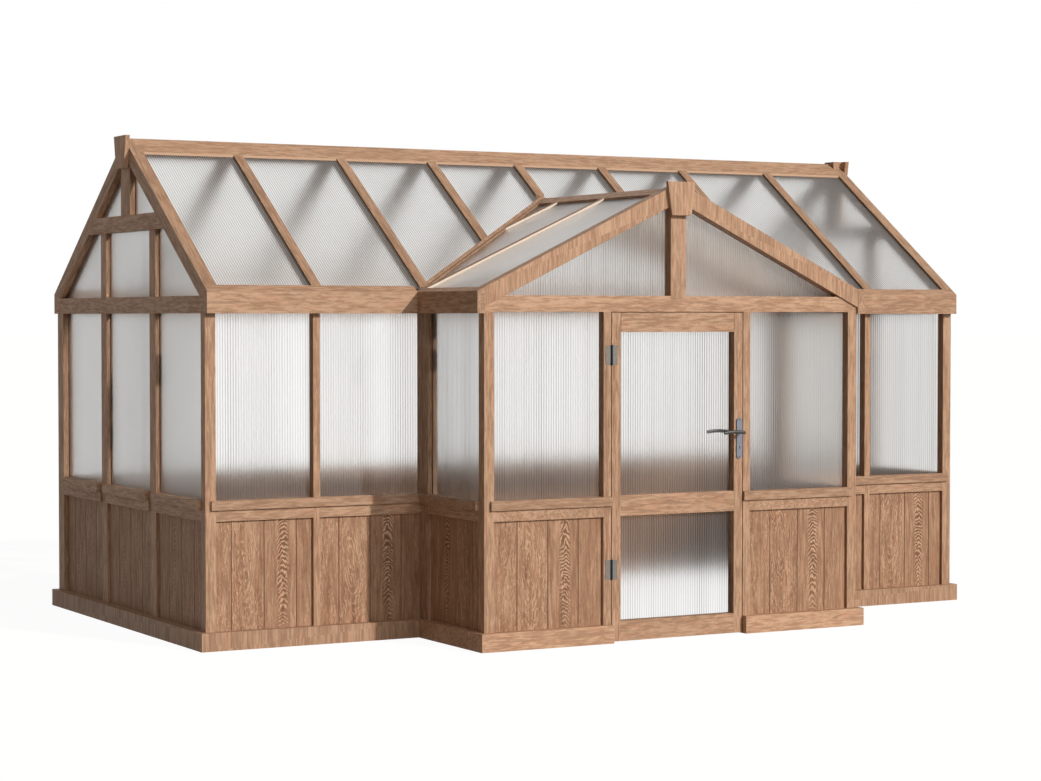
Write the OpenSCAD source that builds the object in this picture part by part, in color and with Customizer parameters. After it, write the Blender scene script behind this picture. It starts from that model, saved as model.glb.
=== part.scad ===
// Timber greenhouse with a gabled entrance porch, glazed with twin wall sheet.
// Units are millimetres, Z is up, and the front of the house faces minus Y.

/* [House] */
// Length of the main house over the base beams
house_length = 4900; // [3700:10:6000]
// Depth of the main house over the base beams
house_depth = 2405; // [2200:5:2900]
// Height of the post tops, which carry the eave boards
eaves_z = 1738; // [1600:2:2000]
// Height of the sill tops
sill_z = 773; // [600:1:950]
// Pitch of the main roof in degrees
roof_pitch = 35; // [28:0.5:42]
// Distance the gable studs stand from the ridge line
gable_stud_at = 389; // [330:1:440]

/* [Porch] */
// How far the porch base stands in front of the main base
porch_out = 719; // [600:1:1000]
// Pitch of the porch roof in degrees
porch_pitch = 24.59; // [20:0.1:27]
// Pitch of the porch barge boards in degrees
barge_pitch = 25.49; // [21:0.1:28]

/* [Door] */
// Width of the door leaf
door_w = 826; // [700:2:900]
// Gap between the leaf and each door post
door_gap = 5; // [4:0.5:8]
// Width of the two door stiles
stile_w = 54; // [50:1:70]
// Height of the lever spindle above the ground
lever_z = 1094; // [950:1:1200]

/* [Timber] */
// Side of the square posts
post = 58; // [50:1:70]
// Height of the base beams
base_h = 96; // [70:1:120]
// Width of the base beams
base_w = 92; // [80:1:110]
// Thickness of the eave boards
eave_t = 45; // [38:1:52]
// Height of the outer face of the eave boards
eave_h = 115; // [100:1:140]
// Thickness of the sills
sill_t = 49; // [35:1:60]
// Width of a wall plank
plank_w = 183; // [120:1:200]
// Thickness of a wall plank
plank_t = 16; // [14:1:20]
// Width of the rafters
rafter_w = 56; // [45:1:65]
// Depth of the rafters
rafter_d = 70; // [60:1:90]

/* [Glazing] */
// Thickness of the wall sheets
pane_t = 8; // [6:1:10]
// Thickness of the roof sheets
roof_t = 10; // [8:1:12]
// How far the roof sheets lie below the rafter tops
recess = 11; // [10:0.5:14]
// How far a sheet runs into its groove or rebate
grip = 10; // [6:1:12]

/* [Hidden] */
$fn = 48;

tall = 4000;
// Main house lines, measured from the middle of the length and the front of the base
bx = house_length / 2;
wx = bx - 34;
gx = bx - 28.4;
ky = house_depth / 2;
fy = 30;
ry = house_depth - fy;
ey = -15.5;
iy = ey + eave_t;
bay = (house_length - 124) / 8;
rear_post_d = 97;
// Main roof plane, which carries the tops of rafters, barges and caps
eave_top = eaves_z + eave_h;
cr = cos(roof_pitch);
tr = tan(roof_pitch);
function roof(y, d = 0) = eave_top + tr * (y - ey) - d / cr;
function roof_y(z, d = 0) = ey + (z - eave_top + d / cr) / tr;
ridge_z = roof(ky);
// Clearance under pieces that are bedded on a slope
bed = 0.1;
barge_w = 70;
barge_d = 80;
ridge_t = 45;
ridge_d = 118;
my = ky - 0.15;
ridge_y = ky - ridge_t / 2;
cap_w = 140;
cap_t = recess - bed;
cap_y = ky - cap_w * cr;
tie_h = 90;
tie_x = gx - post;
collar_z = eaves_z + 452;
// Walls
rail_h = 58;
rail_top = sill_z - sill_t;
rail_z = rail_top - rail_h;
stud_w = 39;
glass_in = 50;
sill_out = 16;
gable_out = 23;
plank_in = 18;
gstud_w = 89;
gstud_d = 38;
gface = wx - 10;
gpane = wx - 31;
gplank = wx - 24;
// Porch lines
px = 2 * bay - 18;
pi = px - post;
// The rafters next to the porch stand inside the junction posts, the others share the width
rafter_2 = px - 18;
function rafter_x(k) = abs(k) == 3 ? k * bay : k * rafter_2 / 2;
pbx = px + 31;
ex = px + 0.5 + eave_t;
pfy = 36 - porch_out;
pby = pfy + post;
jy = -46;
cp = cos(porch_pitch);
tp = tan(porch_pitch);
function proof(x, d = 0) = eave_top + tp * (ex - x) - d / cp;
tb = tan(barge_pitch);
function pbarge(x, d = 0) = proof(ex - eave_t) + tb * (ex - eave_t - x) - d / cos(barge_pitch);
pbarge_d = 91;
ptie_z = eaves_z + 8;
ptie_h = 85;
prafter_w = 45;
prafter_d = 45;
pcap_w = 84;
pcap_x = pcap_w * cp;
pridge_t = 40;
// The porch barges stand this far in front of the posts and the tie
proud = 12;
// The valley runs from the outer eave corner to the porch ridge, in plan
valley_y = ey + (proof(0) - eave_top) / tr;
valley_len = sqrt(ex * ex + (valley_y - ey) * (valley_y - ey));
valley_a = atan2(valley_y - ey, ex);
valley_main = 17;
valley_side = 27;
valley_d = 80;
// Porch rafters stand at these places along the porch ridge
prafter_y = [pby + 607, pby + 1127];
// Door
dx = door_w / 2;
door_z0 = 5;
door_z1 = ptie_z - 4;
door_t = 57;
door_y = pfy + door_t;
dpx = dx + door_gap;
dp_out = dpx + 46;
top_rail = 103;
mid_rail_z = rail_z + 2;
mid_rail = 109;
bot_rail = 107;
dpane_y = pfy + 44;
// Hinges
pin_x = -(dx + door_gap / 2);
pin_y = pfy - 5;
hinge_len = 103;
hinge_leaf = 36.5;
hinge_t = 2;
knuckle_r = 4.7;
pin_r = 2.5;
pin_gap = 0.05;
hinge_z = [335, 1467];
// Handle and lock
hx = dx - stile_w / 2 + 5;
plate_z = lever_z - 31.5;
plate_len = 221;
plate_w = 36;
plate_t = 7;
key_z = lever_z - 78;
spindle = 8;
spindle_hole = 6.2;
neck_out = 48;
grip_len = 130;
case_t = 16;
case_z0 = lever_z - 104;
case_z1 = lever_z + 36;
latch_out = 3;
latch_h = 16;
latch_t = 11;
latch_in = 30;
screw_r = 2;
joint = 0.3;

// The frame is set over the middle of everything that is drawn, on the ground
lever_r = 7;
front_most = pfy - plate_t - neck_out - lever_r;
rear_most = house_depth - ey;
y_mid = (front_most + rear_most) / 2;

oak = [0.80, 0.60, 0.44];
sheetc = [0.86, 0.88, 0.88, 0.6];
metal = [0.55, 0.56, 0.58];

module place() translate([0, -y_mid, 0]) children();

module both() {
    children();
    mirror([1, 0, 0]) children();
}

module front_rear() {
    children();
    translate([0, house_depth, 0]) mirror([0, 1, 0]) children();
}

module bar(x0, x1, y0, y1, z0, z1)
    translate([x0, y0, z0]) cube([x1 - x0, y1 - y0, z1 - z0]);

// A profile drawn in Y and Z, run along X
module along_x(x0, x1, pts)
    translate([x0, 0, 0]) rotate([90, 0, 90]) linear_extrude(x1 - x0) polygon(pts);

// A profile drawn in X and Z, run along Y
module along_y(y0, y1, pts)
    translate([0, y1, 0]) rotate([90, 0, 0]) linear_extrude(y1 - y0) polygon(pts);

// A slab parallel to the main roof between two depths below its plane
module main_slab(x0, x1, y0, y1, d0, d1)
    along_x(x0, x1, [[y0, roof(y0, d0)], [y1, roof(y1, d0)], [y1, roof(y1, d1)], [y0, roof(y0, d1)]]);

// A slab parallel to the right slope of the porch roof
module porch_slab(x0, x1, y0, y1, d0, d1)
    along_y(y0, y1, [[x0, proof(x0, d0)], [x1, proof(x1, d0)], [x1, proof(x1, d1)], [x0, proof(x0, d1)]]);

// An upright block along the right valley, between two distances from the valley line
module valley_block(s0, s1)
    translate([ex, ey, 0]) mirror([1, 0, 0]) rotate([0, 0, valley_a])
        translate([-900, s0, 0]) cube([valley_len + 3200, s1 - s0, tall]);

// A row of planks that fills a bay, with the joints set out from the middle of the bay
// The planks run along U, and V is the depth from the outer face inwards
module planks_uv(u0, u1, v0, odd) {
    mid = (u0 + u1) / 2;
    half = (u1 - u0) / 2;
    off = odd ? plank_w / 2 : 0;
    n = ceil((half - off) / plank_w);
    for (k = [-n - 1 : n]) {
        a = max(u0, mid + off + k * plank_w + joint);
        b = min(u1, mid + off + (k + 1) * plank_w);
        if (b - a > 12) translate([0, 0, base_h]) linear_extrude(rail_z - base_h)
            polygon([[a + 2.5, v0], [b - 2.5, v0], [b, v0 + 2.5], [b, v0 + plank_t],
                [a, v0 + plank_t], [a, v0 + 2.5]]);
    }
}

// Base beams
module base_beams() color(oak * 0.95) place() {
    both() bar(pbx - base_w, bx, 0, base_w, 0, base_h);
    bar(-bx, bx, house_depth - base_w, house_depth, 0, base_h);
    both() bar(bx - base_w, bx, base_w + joint, house_depth - base_w - joint, 0, base_h);
}

module porch_base_beams() color(oak * 0.95) place() both() {
    bar(pbx - base_w, pbx, base_w - porch_out + joint, 0, 0, base_h);
    bar(dpx, pbx, -porch_out, base_w - porch_out, 0, base_h);
}

// Posts
module corner_posts() color(oak) place() difference() {
    both() {
        bar(wx - post, wx, fy, fy + post, base_h, eaves_z);
        bar(wx - post, wx, ry - rear_post_d, ry, base_h, eaves_z);
    }
    wall_sheets();
}

module junction_posts() color(oak) place() difference() {
    both() {
        bar(pi, px, fy, fy + post, base_h, eaves_z);
        bar(pi, px, jy, fy - joint, base_h, eaves_z);
    }
    wall_sheets();
}

module porch_posts() color(oak) place() difference() {
    both() bar(pi, px, pfy, pby, base_h, ptie_z);
    wall_sheets();
}

module door_posts() color(oak) place() difference() {
    both() bar(dpx, dp_out, pfy, pby, base_h, ptie_z);
    wall_sheets();
    hinge_screw_holes();
    keep_shape(0);
    bar(dpx - 1, dpx + 16, pfy + 22, pfy + 39, lever_z - 50, lever_z + 20);
}

// Studs between the windows of the long walls
module wall_studs() color(oak) place() difference() {
    union() {
        both() bar(3 * bay - stud_w / 2, 3 * bay + stud_w / 2, fy, fy + post, base_h, eaves_z);
        for (k = [-3 : 3])
            bar(k * bay - stud_w / 2, k * bay + stud_w / 2, ry - post, ry, base_h, eaves_z);
    }
    wall_sheets();
}

module gable_studs() color(oak) place() difference() {
    both() for (s = [-1, 1]) {
        y = ky + s * gable_stud_at;
        bar(gface - gstud_d, gface, y - gstud_w / 2, y + gstud_w / 2, base_h, eaves_z);
        bar(gface - gstud_d, gface, y - gstud_w / 2, y + gstud_w / 2, eaves_z + tie_h, collar_z);
    }
    wall_sheets();
}

// Sills, notched round the posts and studs that pass them
module sill_along_x(x0, x1, ix0, ix1, yf)
    difference() {
        union() {
            along_x(x0, x1, [[yf, rail_top], [yf + sill_out, rail_top], [yf + sill_out, sill_z],
                [yf + 5, sill_z], [yf, sill_z - 5]]);
            bar(ix0, ix1, yf + sill_out - 1, yf + sill_out + post, rail_top, sill_z);
        }
        wall_sheets();
    }

module main_sills() color(oak) place() {
    both() difference() {
        sill_along_x(px, wx - 29, px, wx - post, fy - sill_out);
        bar(3 * bay - stud_w / 2, 3 * bay + stud_w / 2, fy, fy + post + 1, 0, tall);
    }
    translate([0, house_depth, 0]) mirror([0, 1, 0]) difference() {
        sill_along_x(29 - wx, wx - 29, post - wx, wx - post, fy - sill_out);
        for (k = [-3 : 3])
            bar(k * bay - stud_w / 2, k * bay + stud_w / 2, fy, fy + post + 1, 0, tall);
        translate([0, house_depth, 0]) mirror([0, 1, 0]) wall_sheets();
    }
}

function gable_bays() = [
    [fy + post, ky - gable_stud_at - gstud_w / 2],
    [ky - gable_stud_at + gstud_w / 2, ky + gable_stud_at - gstud_w / 2],
    [ky + gable_stud_at + gstud_w / 2, ry - rear_post_d]];

module gable_sills() color(oak) place() difference() {
    both() for (b = gable_bays())
        along_y(b[0], b[1], [[wx - post, rail_top], [wx + gable_out, rail_top],
            [wx + gable_out, sill_z - 5], [wx + gable_out - 5, sill_z], [wx - post, sill_z]]);
    wall_sheets();
}

module porch_sills() color(oak) place() difference() {
    both() {
        difference() {
            union() {
                along_x(dpx, px - 35, [[pfy - sill_out, rail_top], [pfy, rail_top], [pfy, sill_z],
                    [pfy - sill_out + 5, sill_z], [pfy - sill_out, sill_z - 5]]);
                bar(dp_out, pi, pfy - 1, pby, rail_top, sill_z);
            }
        }
        along_y(pby - 8, fy - sill_out, [[px, rail_top], [px + gable_out, rail_top],
            [px + gable_out, sill_z - 5], [px + gable_out - 5, sill_z], [px, sill_z]]);
        bar(pi + joint, px + 1, pby, jy, rail_top, sill_z);
    }
    wall_sheets();
}

// Rails under the sills
module main_rails() color(oak) place() both() {
    bar(px, 3 * bay - stud_w / 2, fy, fy + post, rail_z, rail_top);
    bar(3 * bay + stud_w / 2, wx - post, fy, fy + post, rail_z, rail_top);
    for (k = [0 : 2])
        bar(k * bay + stud_w / 2, (k + 1) * bay - stud_w / 2, ry - post, ry, rail_z, rail_top);
    bar(3 * bay + stud_w / 2, wx - post, ry - post, ry, rail_z, rail_top);
}

module gable_rails() color(oak) place() both() for (b = gable_bays())
    bar(wx - post, wx, b[0], b[1], rail_z, rail_top);

module porch_rails() color(oak) place() both() {
    bar(pi + joint, px, pby, jy, rail_z, rail_top);
    bar(dp_out, pi, pfy, pby, rail_z, rail_top);
}

// Wall planks
module front_planks() color(oak * 0.97) place() both() {
    planks_uv(px, 3 * bay - stud_w / 2, fy + plank_in, false);
    planks_uv(3 * bay + stud_w / 2, wx - post, fy + plank_in, false);
}

module rear_planks() color(oak * 0.97) place()
    translate([0, house_depth, 0]) mirror([0, 1, 0]) both() {
        for (k = [0 : 2])
            planks_uv(k * bay + stud_w / 2, (k + 1) * bay - stud_w / 2, fy + plank_in, false);
        planks_uv(3 * bay + stud_w / 2, wx - post, fy + plank_in, false);
    }

module gable_planks() color(oak * 0.97) place() both() for (b = gable_bays())
    mirror([1, 0, 0]) rotate([0, 0, 90]) planks_uv(b[0], b[1], -gplank, false);

module porch_planks() color(oak * 0.97) place() both() {
    planks_uv(dp_out, pi, pfy + plank_in, false);
    mirror([1, 0, 0]) rotate([0, 0, 90]) planks_uv(pby, jy, plank_in - px, false);
}

// Wall glazing, drawn once here and cut out of the timber that holds it
module front_sheets() both() {
    y = fy + glass_in;
    bar(px - grip, 3 * bay - stud_w / 2 + grip, y, y + pane_t, sill_z - grip, eaves_z + grip);
    bar(3 * bay + stud_w / 2 - grip, wx - post + grip, y, y + pane_t, sill_z - grip, eaves_z + grip);
}

module rear_sheets() both() {
    y = ry - glass_in - pane_t;
    for (k = [0 : 2])
        bar(k * bay + stud_w / 2 - grip, (k + 1) * bay - stud_w / 2 + grip, y, y + pane_t,
            sill_z - grip, eaves_z + grip);
    bar(3 * bay + stud_w / 2 - grip, wx - post + grip, y, y + pane_t, sill_z - grip, eaves_z + grip);
}

module gable_sheets() both() {
    x0 = gpane - pane_t;
    g = grip;
    for (b = gable_bays())
        bar(x0, gpane, b[0] - g, b[1] + g, sill_z - g, eaves_z + g);
    zl = eaves_z + tie_h - g;
    zc = collar_z + g;
    s0 = ky - gable_stud_at - gstud_w / 2 + g;
    s1 = ky - gable_stud_at + gstud_w / 2 - g;
    bar(x0, gpane, s1, house_depth - s1, zl, zc);
    d = barge_d - g;
    zk = collar_z + tie_h - g;
    front_rear() {
        along_x(x0, gpane, [[roof_y(zl, d), zl], [s0, zl], [s0, zc], [roof_y(zc, d), zc]]);
        along_x(x0, gpane, [[roof_y(zk, d), zk], [ky - 71 + g, zk], [ky - 71 + g, roof(ky - 71 + g, d)]]);
    }
}

module porch_sheets() both() {
    y = pfy + glass_in;
    bar(dp_out - grip, pi + grip, y, y + pane_t, sill_z - grip, ptie_z + grip);
    bar(px - 24 - pane_t, px - 24, pby - grip, jy + grip, sill_z - grip, eaves_z + grip);
}

module porch_gable_sheets() both() {
    zb = ptie_z + ptie_h - 15;
    xt = pi - 8;
    along_y(pby, pby + pane_t, [[33, zb], [xt, zb], [xt, pbarge(xt, pbarge_d - 15)],
        [33, pbarge(33, pbarge_d - 15)]]);
}

module wall_sheets() {
    front_sheets();
    rear_sheets();
    gable_sheets();
    porch_sheets();
}

module front_panes() color(sheetc) place() front_sheets();
module rear_panes() color(sheetc) place() rear_sheets();
module gable_panes() color(sheetc) place() gable_sheets();
module porch_panes() color(sheetc) place() {
    porch_sheets();
    porch_gable_sheets();
}

// Eave boards, bevelled on top to the roof slope
module eave_boards() color(oak) place() {
    both() along_x(ex, gx, [[ey, eaves_z], [iy, eaves_z], [iy, roof(iy)], [ey, roof(ey)]]);
    translate([0, house_depth, 0]) mirror([0, 1, 0])
        along_x(-gx, gx, [[ey, eaves_z], [iy, eaves_z], [iy, roof(iy)], [ey, roof(ey)]]);
}

module porch_eave_boards() color(oak) place() both()
    along_y(pfy - proud - 3, iy, [[ex - eave_t, eaves_z], [ex, eaves_z], [ex, proof(ex)],
        [ex - eave_t, proof(ex - eave_t)]]);

// Plates behind the eave boards, bevelled to carry the rafters
module plate_front()
    along_x(-tie_x, tie_x, [[iy, eaves_z], [fy + post, eaves_z],
        [fy + post, roof(fy + post, rafter_d)], [iy, roof(iy, rafter_d)]]);

module plate_porch()
    along_y(pby, iy, [[pi, eaves_z], [px, eaves_z], [px, proof(px, prafter_d + bed)],
        [pi, proof(pi, prafter_d + bed)]]);

module wall_plates() color(oak) place() difference() {
    front_rear() plate_front();
    wall_sheets();
    both() front_rear() bar(gx - barge_w, gx, 0, fy + post + 1, eaves_z + tie_h, tall);
}

module porch_plates() color(oak) place() difference() {
    both() plate_porch();
    wall_sheets();
}

// Gable frames
module gable_ties() color(oak) place() difference() {
    both() {
        bar(tie_x, gx, iy, house_depth - iy, eaves_z, eaves_z + tie_h);
        along_x(tie_x, gx, [
            [roof_y(collar_z, barge_d), collar_z],
            [house_depth - roof_y(collar_z, barge_d), collar_z],
            [house_depth - roof_y(collar_z + tie_h, barge_d), collar_z + tie_h],
            [roof_y(collar_z + tie_h, barge_d), collar_z + tie_h]]);
    }
    wall_sheets();
}

module gable_barges() color(oak) place() difference() {
    both() front_rear() along_x(gx - barge_w, gx, [[iy, roof(iy)], [my, roof(my)],
        [my, roof(my, barge_d)], [roof_y(eaves_z + tie_h, barge_d), eaves_z + tie_h],
        [iy, eaves_z + tie_h]]);
    wall_sheets();
    roof_sheet_shapes();
    front_rear() main_slab(-gx + 46, gx - 46, cap_y - bed, ky, -1, cap_t + bed);
    both() bar(gx - barge_w - 1, tie_x, ridge_y, ky + ridge_t / 2, 2000, tall);
}

module king_posts() color(oak) place() difference() {
    union() {
        both() along_x(gface - gstud_d, gface + 9, [
            [ky - 71, collar_z + tie_h], [ky + 71, collar_z + tie_h],
            [ky + 71, roof(ky - 71, barge_d)], [ky, roof(ky, barge_d)],
            [ky - 71, roof(ky - 71, barge_d)]]);
        along_y(pfy, pby, [[-48, ptie_z + ptie_h - 20], [48, ptie_z + ptie_h - 20],
            [48, pbarge(48, pbarge_d + bed)], [0, pbarge(0, pbarge_d + bed)],
            [-48, pbarge(48, pbarge_d + bed)]]);
    }
    wall_sheets();
}

// Tapered boards that cover the joint at each apex
module keystones() color(oak) place() {
    both() along_x(gx, gx + 25, [[ky - 64, ridge_z - 166], [ky + 64, ridge_z - 166],
        [ky + 95, ridge_z + 12], [ky - 95, ridge_z + 12]]);
    // The right one has a block behind it that sits on the barges
    along_x(gx - 62, gx + 1, [[ky - 49, roof(ky - 49) + bed], [ky, ridge_z + bed],
        [ky + 49, roof(ky - 49) + bed], [ky + 49, ridge_z + 12], [ky - 49, ridge_z + 12]]);
    along_y(pfy - proud - 22, pfy - proud, [[-61, pbarge(0) - 175], [61, pbarge(0) - 175], [87, pbarge(0) + 4],
        [-87, pbarge(0) + 4]]);
}

// Porch gable frame, with the tie laid over the posts
module porch_tie() color(oak) place() difference() {
    end_z = pbarge(px, pbarge_d + bed);
    x = px + (end_z - ptie_z - ptie_h) / tb;
    along_y(pfy, pby, [[-px, ptie_z], [px, ptie_z], [px, end_z], [x, ptie_z + ptie_h],
        [-x, ptie_z + ptie_h], [-px, end_z]]);
    bar(-48, 48, pfy - 1, pby + 1, ptie_z + ptie_h - 20, tall);
    wall_sheets();
}

module porch_barges() color(oak) place() both()
    along_y(pfy - proud, pby, [[0.15, pbarge(0.15)], [ex - eave_t, pbarge(ex - eave_t)],
        [ex - eave_t, pbarge(ex - eave_t, pbarge_d)], [0.15, pbarge(0.15, pbarge_d)]]);

// Ridges
module ridge_board() color(oak) place() difference() {
    along_x(-tie_x, tie_x, [[ridge_y, ridge_z - ridge_d], [ky + ridge_t / 2, ridge_z - ridge_d],
        [ky + ridge_t / 2, roof(ridge_y, cap_t + bed)], [ky, roof(ky, cap_t + bed)],
        [ridge_y, roof(ridge_y, cap_t + bed)]]);
}

module ridge_caps() color(oak) place() front_rear()
    main_slab(-gx + 46, gx - 46, cap_y, my, 0, cap_t);

module cap_cut() front_rear() main_slab(-gx, gx, cap_y - bed, ky, -1, cap_t + bed);

module porch_ridge_board() color(oak) place() difference() {
    intersection() {
        along_y(pby, valley_y + 200, [[-pridge_t / 2, proof(0) - 120], [pridge_t / 2, proof(0) - 120],
            [pridge_t / 2, proof(pridge_t / 2, cap_t + bed)], [0, proof(0, cap_t + bed)],
            [-pridge_t / 2, proof(pridge_t / 2, cap_t + bed)]]);
        valley_block(-3000, -valley_side);
        mirror([1, 0, 0]) valley_block(-3000, -valley_side);
    }
}

module porch_ridge_caps() color(oak) place() both() intersection() {
    porch_slab(0.15, pcap_x, pby, valley_y + 100, 0, cap_t);
    valley_block(-3000, 0);
}

// Rafters
module main_rafter(x)
    main_slab(x - rafter_w / 2, x + rafter_w / 2, iy, ridge_y, 0, rafter_d);

module front_rafters() color(oak) place() difference() {
    union() {
        for (k = [-3, -2, 2, 3]) main_rafter(rafter_x(k));
        both() intersection() {
            main_rafter(rafter_x(1));
            valley_block(valley_main, 3000);
        }
        intersection() {
            main_rafter(0);
            valley_block(valley_main, 3000);
            mirror([1, 0, 0]) valley_block(valley_main, 3000);
        }
    }
    cap_cut();
    roof_sheet_shapes();
}

module rear_rafters() color(oak) place() difference() {
    translate([0, house_depth, 0]) mirror([0, 1, 0])
        for (k = [-3 : 3]) main_rafter(rafter_x(k));
    cap_cut();
    roof_sheet_shapes();
}

// The room between the porch ridge, the next rafter and the porch eave board
module valley_room() {
    bar(0.15, rafter_2 - rafter_w / 2, -500, ridge_y, 0, tall);
    bar(0.15, ex - eave_t, -500, iy, 0, tall);
}

module valley_rafters() color(oak) place() both() difference() {
    union() {
        intersection() {
            main_slab(0.15, ex - eave_t, -100, ridge_y, 0, valley_d);
            valley_block(0, valley_main);
            valley_room();
        }
        intersection() {
            along_y(-100, ridge_y, [[0, proof(0)], [px, proof(px)],
                [px, proof(px) - valley_d / cr], [0, proof(0) - valley_d / cr]]);
            valley_block(-valley_side, 0);
            valley_room();
        }
    }
    plate_front();
    plate_porch();
    roof_sheet_shapes();
    porch_slab(0, pcap_x, pby, valley_y + 100, -1, cap_t);
}

module porch_rafters() color(oak) place() difference() {
    both() intersection() {
        for (y = prafter_y)
            porch_slab(pridge_t / 2, ex - eave_t, y - prafter_w / 2, y + prafter_w / 2, 0, prafter_d);
        valley_block(-3000, -valley_side);
    }
    both() porch_slab(0, pcap_x, pby, valley_y + 100, -1, cap_t);
    roof_sheet_shapes();
}

// Roof glazing, drawn once and cut out of the rafters that hold it
module roof_bay(x0, x1)
    main_slab(x0 - grip, x1 + grip, iy, ridge_y, recess, recess + roof_t);

function bay_x0(k) = rafter_x(k) + rafter_w / 2;
function bay_x1(k) = k == 3 ? gx - barge_w : rafter_x(k + 1) - rafter_w / 2;

module front_roof_shapes() {
    both() for (k = [2, 3]) roof_bay(bay_x0(k), bay_x1(k));
    both() intersection() {
        for (k = [0, 1]) roof_bay(bay_x0(k), bay_x1(k));
        valley_block(valley_main - grip, 3000);
    }
}

module rear_roof_shapes() translate([0, house_depth, 0]) mirror([0, 1, 0])
    both() for (k = [0 : 3]) roof_bay(bay_x0(k), bay_x1(k));

module porch_roof_shapes() both() {
    x0 = pridge_t / 2;
    x1 = ex - eave_t;
    h = prafter_w / 2;
    g = grip;
    porch_slab(x0, x1, pby, prafter_y[0] - h + g, recess, recess + roof_t);
    intersection() {
        union() {
            porch_slab(x0, x1, prafter_y[0] + h - g, prafter_y[1] - h + g, recess, recess + roof_t);
            porch_slab(x0, x1, prafter_y[1] + h - g, valley_y, recess, recess + roof_t);
        }
        valley_block(-3000, grip - valley_side);
        bar(0, 2 * bay, -500, ridge_y, 0, tall);
    }
}

module roof_sheet_shapes() {
    front_roof_shapes();
    rear_roof_shapes();
    porch_roof_shapes();
}

module front_roof_sheets() color(sheetc) place() front_roof_shapes();
module rear_roof_sheets() color(sheetc) place() rear_roof_shapes();
module porch_roof_sheets() color(sheetc) place() porch_roof_shapes();

// Door
module door_stops() color(oak) place() difference() {
    union() {
        both() bar(dx - 6, dx + 32, pby, pby + 18, door_z0, door_z1 - 6 - joint);
        bar(-dx - 32, dx + 32, pby, pby + 18, door_z1 - 6, ptie_z + 22);
    }
    bar(dx - 20, hx + plate_w / 2 + 1.5, pby - 1, pby + plate_t + 2, plate_z - plate_len / 2 - 2,
        plate_z + plate_len / 2 + 2);
}

module door_stiles() color(oak) place() difference() {
    both() bar(dx - stile_w, dx, pfy, door_y, door_z0, door_z1);
    door_sheet();
    hinge_screw_holes();
    lock_shape(0);
    latch_shape(0.4, 16);
    translate([hx, pfy - 1, lever_z]) rotate([-90, 0, 0]) cylinder(r = spindle_hole, h = door_t + 2);
    plate_screw_shapes();
}

module door_rails() color(oak) place() difference() {
    union() {
        bar(stile_w - dx, dx - stile_w, pfy, door_y, door_z1 - top_rail, door_z1);
        bar(stile_w - dx, dx - stile_w, pfy, door_y, mid_rail_z, mid_rail_z + mid_rail);
        bar(stile_w - dx, dx - stile_w, pfy, door_y, door_z0, door_z0 + bot_rail);
    }
    door_sheet();
    // Open joint lines at the shoulders of the top rail
    both() bar(dx - stile_w - 2.5, dx - stile_w + 1, pfy - 1, pfy + 5, door_z1 - top_rail - 1,
        door_z1 + 1);
}

module door_sheet() {
    w = dx - stile_w + grip;
    bar(-w, w, dpane_y, dpane_y + pane_t, mid_rail_z + mid_rail - grip, door_z1 - top_rail + grip);
    bar(-w, w, dpane_y, dpane_y + pane_t, door_z0 + bot_rail - grip, mid_rail_z + grip);
}

module door_panes() color(sheetc) place() door_sheet();

// Butt hinges on the face of the door and the left door post
module hinge_leaf_shape(side, own) {
    seg = hinge_len / 5;
    difference() {
        union() {
            difference() {
                translate([side > 0 ? 0 : -hinge_leaf, 3, 0])
                    cube([hinge_leaf, hinge_t, hinge_len]);
                for (k = [0 : 4]) if (k % 2 != own)
                    translate([0, 0, k * seg - 0.2]) cylinder(r = knuckle_r + 0.6, h = seg + 0.4);
                translate([side > 0 ? -1 : -0.3, 0, -1]) cube([1.3, 10, hinge_len + 2]);
            }
            for (k = [0 : 4]) if (k % 2 == own) {
                translate([0, 0, k * seg + 0.2]) cylinder(r = knuckle_r, h = seg - 0.4);
                translate([side > 0 ? 0 : -6, 3, k * seg + 0.2]) cube([6, knuckle_r - 3, seg - 0.4]);
            }
        }
        translate([0, 0, -1]) cylinder(r = pin_r + pin_gap, h = hinge_len + 2);
        for (z = [16, hinge_len / 2, hinge_len - 16])
            translate([side * 23, 2, z]) rotate([-90, 0, 0]) cylinder(r = screw_r + 0.2, h = 6);
    }
}

module at_hinges() for (z = hinge_z) translate([pin_x, pin_y, z]) children();

module frame_hinge_leaves() color(metal) place() at_hinges() hinge_leaf_shape(-1, 0);
module door_hinge_leaves() color(metal) place() at_hinges() hinge_leaf_shape(1, 1);

module hinge_pins() color(metal * 0.5) place() at_hinges() {
    translate([0, 0, -0.2]) cylinder(r = pin_r, h = hinge_len + 0.4);
    translate([0, 0, -2.7]) cylinder(r1 = 3.4, r2 = knuckle_r, h = 2.5);
    translate([0, 0, hinge_len + 0.2]) cylinder(r1 = knuckle_r, r2 = 3.4, h = 2.5);
}

module hinge_screw_shapes(side) at_hinges() for (z = [16, hinge_len / 2, hinge_len - 16])
    translate([side * 23, 0, z]) rotate([-90, 0, 0]) {
        translate([0, 0, 1.6]) cylinder(r1 = 3, r2 = 3.8, h = 1.4);
        translate([0, 0, 3]) cylinder(r = screw_r, h = 25);
    }

module hinge_screw_holes() {
    hinge_screw_shapes(-1);
    hinge_screw_shapes(1);
}

module frame_hinge_screws() color(metal) place() hinge_screw_shapes(-1);
module door_hinge_screws() color(metal) place() hinge_screw_shapes(1);

// Lever plates, one on each face of the door
module on_both_faces() {
    children();
    translate([0, pfy + door_y, 0]) mirror([0, 1, 0]) children();
}

module plate_outline() {
    r = plate_w / 2;
    for (s = [-1, 1]) translate([0, s * (plate_len / 2 - r)]) circle(r = r);
    square([plate_w, plate_len - plate_w], center = true);
}

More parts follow.
